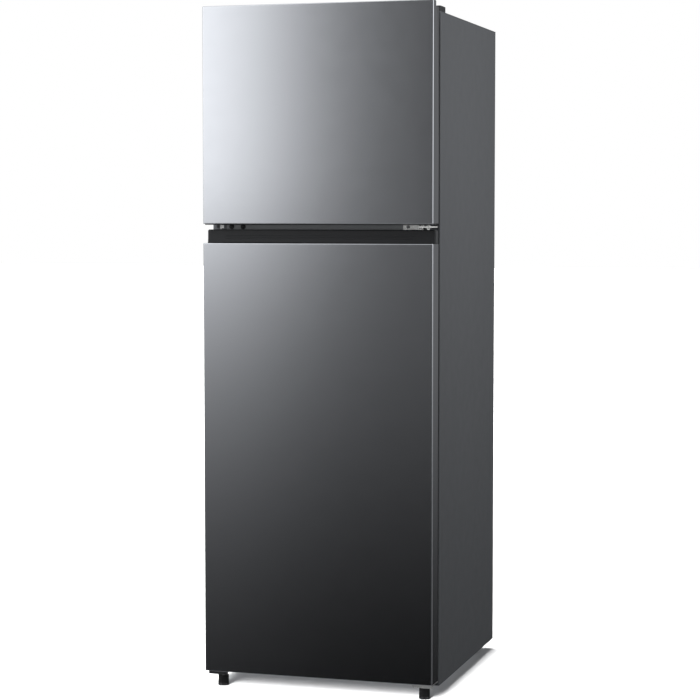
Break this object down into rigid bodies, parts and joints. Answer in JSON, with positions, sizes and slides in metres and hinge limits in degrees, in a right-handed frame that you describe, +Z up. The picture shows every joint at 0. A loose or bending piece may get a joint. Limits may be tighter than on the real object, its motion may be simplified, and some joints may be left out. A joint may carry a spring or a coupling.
{
  "type": "top freezer refrigerator",
  "caption": "Tall free-standing refrigerator with a smaller freezer door above a larger fridge door, glass shelves, door bins, a crisper drawer and adjustable feet.",
  "frame": {"origin": "on the floor under the middle of the object's outer box", "axes": "+Z up, -Y out of the doors, +X to the right seen from the front"},
  "size_m": [0.6, 0.68, 1.732],
  "materials": {
    "door_steel": "satin",
    "cabinet_paint": "satin",
    "galvanised": "matte",
    "hinge_nickel": "polished",
    "screw_steel": "satin",
    "black_plastic": "satin",
    "grey_plastic": "satin",
    "white_liner": "satin",
    "white_trim": "satin",
    "clear_plastic": "gloss",
    "shelf_glass": "gloss",
    "foam": "matte",
    "gasket": "matte",
    "black_rubber": "matte",
    "compressor_paint": "satin",
    "copper": "satin",
    "evaporator_aluminium": "satin"
  },
  "bodies": {
    "cabinet": {"side_panel_left": "cabinet_paint", "side_panel_right": "cabinet_paint", "top_panel": "cabinet_paint", "centre_mullion": "cabinet_paint", "back_panel": "galvanised", "base_pan": "galvanised", "compressor_tray": "galvanised", "machine_cover": "galvanised", "left_foot_bracket": "galvanised", "middle_hinge": "hinge_nickel", "top_hinge": "hinge_nickel", "bottom_hinge": "hinge_nickel", "middle_hinge_screw_left": "screw_steel", "middle_hinge_screw_right": "screw_steel", "top_hinge_cover": "black_plastic", "drain_pan": "black_plastic", "mullion_plug_left": "grey_plastic", "mullion_plug_right": "grey_plastic", "fan_motor": "grey_plastic", "freezer_liner": "white_liner", "fridge_liner": "white_liner", "evaporator_cover": "white_trim", "air_duct": "white_trim", "control_housing": "white_trim", "lamp_lens": "clear_plastic", "freezer_shelf": "shelf_glass", "fridge_shelf_upper": "shelf_glass", "fridge_shelf_middle": "shelf_glass", "crisper_cover": "shelf_glass", "insulation_foam": "foam", "cord_gland": "black_rubber", "compressor": "compressor_paint", "discharge_pipe": "copper", "filter_drier": "copper", "evaporator": "evaporator_aluminium"},
    "freezer_door": {"freezer_door_skin": "door_steel", "freezer_door_top_cap": "black_plastic", "freezer_door_bottom_cap": "black_plastic", "freezer_door_liner": "white_liner", "freezer_door_bin_upper": "clear_plastic", "freezer_door_bin_lower": "clear_plastic", "freezer_door_foam": "foam", "freezer_door_gasket": "gasket"},
    "fridge_door": {"fridge_door_skin": "door_steel", "fridge_door_top_cap": "black_plastic", "fridge_door_bottom_cap": "black_plastic", "fridge_door_liner": "white_liner", "fridge_door_bin_upper": "clear_plastic", "fridge_door_bin_middle": "clear_plastic", "fridge_door_bin_lower": "clear_plastic", "fridge_door_foam": "foam", "fridge_door_gasket": "gasket"},
    "crisper_drawer": {"crisper_drawer": "clear_plastic"},
    "humidity_slider": {"humidity_slider": "white_trim"},
    "temperature_dial": {"temperature_dial": "grey_plastic"},
    "evaporator_fan": {"evaporator_fan": "black_plastic"},
    "rear_roller_left": {"rear_roller_left": "black_rubber"},
    "rear_roller_right": {"rear_roller_right": "black_rubber"},
    "front_foot_left": {"front_foot_left": "black_plastic"},
    "front_foot_right": {"front_foot_right": "black_plastic"}
  },
  "joints": [
    {"name": "freezer_door_hinge", "type": "hinge", "parent": "cabinet", "child": "freezer_door", "pos_m": [0.278, -0.3, 1.45], "axis": [0, 0, 1], "range_deg": [0, 110]},
    {"name": "fridge_door_hinge", "type": "hinge", "parent": "cabinet", "child": "fridge_door", "pos_m": [0.278, -0.3, 0.6], "axis": [0, 0, 1], "range_deg": [0, 110]},
    {"name": "crisper_slide", "type": "slide", "parent": "cabinet", "child": "crisper_drawer", "axis": [0, -1, 0], "range_m": [0, 0.18]},
    {"name": "humidity_slide", "type": "slide", "parent": "crisper_drawer", "child": "humidity_slider", "axis": [1, 0, 0], "range_m": [0, 0.03]},
    {"name": "temperature_dial_turn", "type": "hinge", "parent": "cabinet", "child": "temperature_dial", "pos_m": [0.07, -0.19, 1.1135], "axis": [0, 1, 0], "range_deg": [0, 270]},
    {"name": "evaporator_fan_spin", "type": "hinge", "parent": "cabinet", "child": "evaporator_fan", "pos_m": [0, 0.234, 1.56], "axis": [0, 1, 0], "continuous": true},
    {"name": "rear_roller_left_spin", "type": "hinge", "parent": "cabinet", "child": "rear_roller_left", "pos_m": [-0.262, 0.28, 0.0135], "axis": [1, 0, 0], "continuous": true},
    {"name": "rear_roller_right_spin", "type": "hinge", "parent": "cabinet", "child": "rear_roller_right", "pos_m": [0.262, 0.28, 0.0135], "axis": [1, 0, 0], "continuous": true},
    {"name": "front_foot_left_screw", "type": "slide", "parent": "cabinet", "child": "front_foot_left", "axis": [0, 0, -1], "range_m": [0, 0.012]},
    {"name": "front_foot_right_screw", "type": "slide", "parent": "cabinet", "child": "front_foot_right", "axis": [0, 0, -1], "range_m": [0, 0.012]}
  ],
  "couplings": [
    {"joint": "crisper_slide", "follows": "fridge_door_hinge", "m_per_rad": 0.0937}
  ]
}
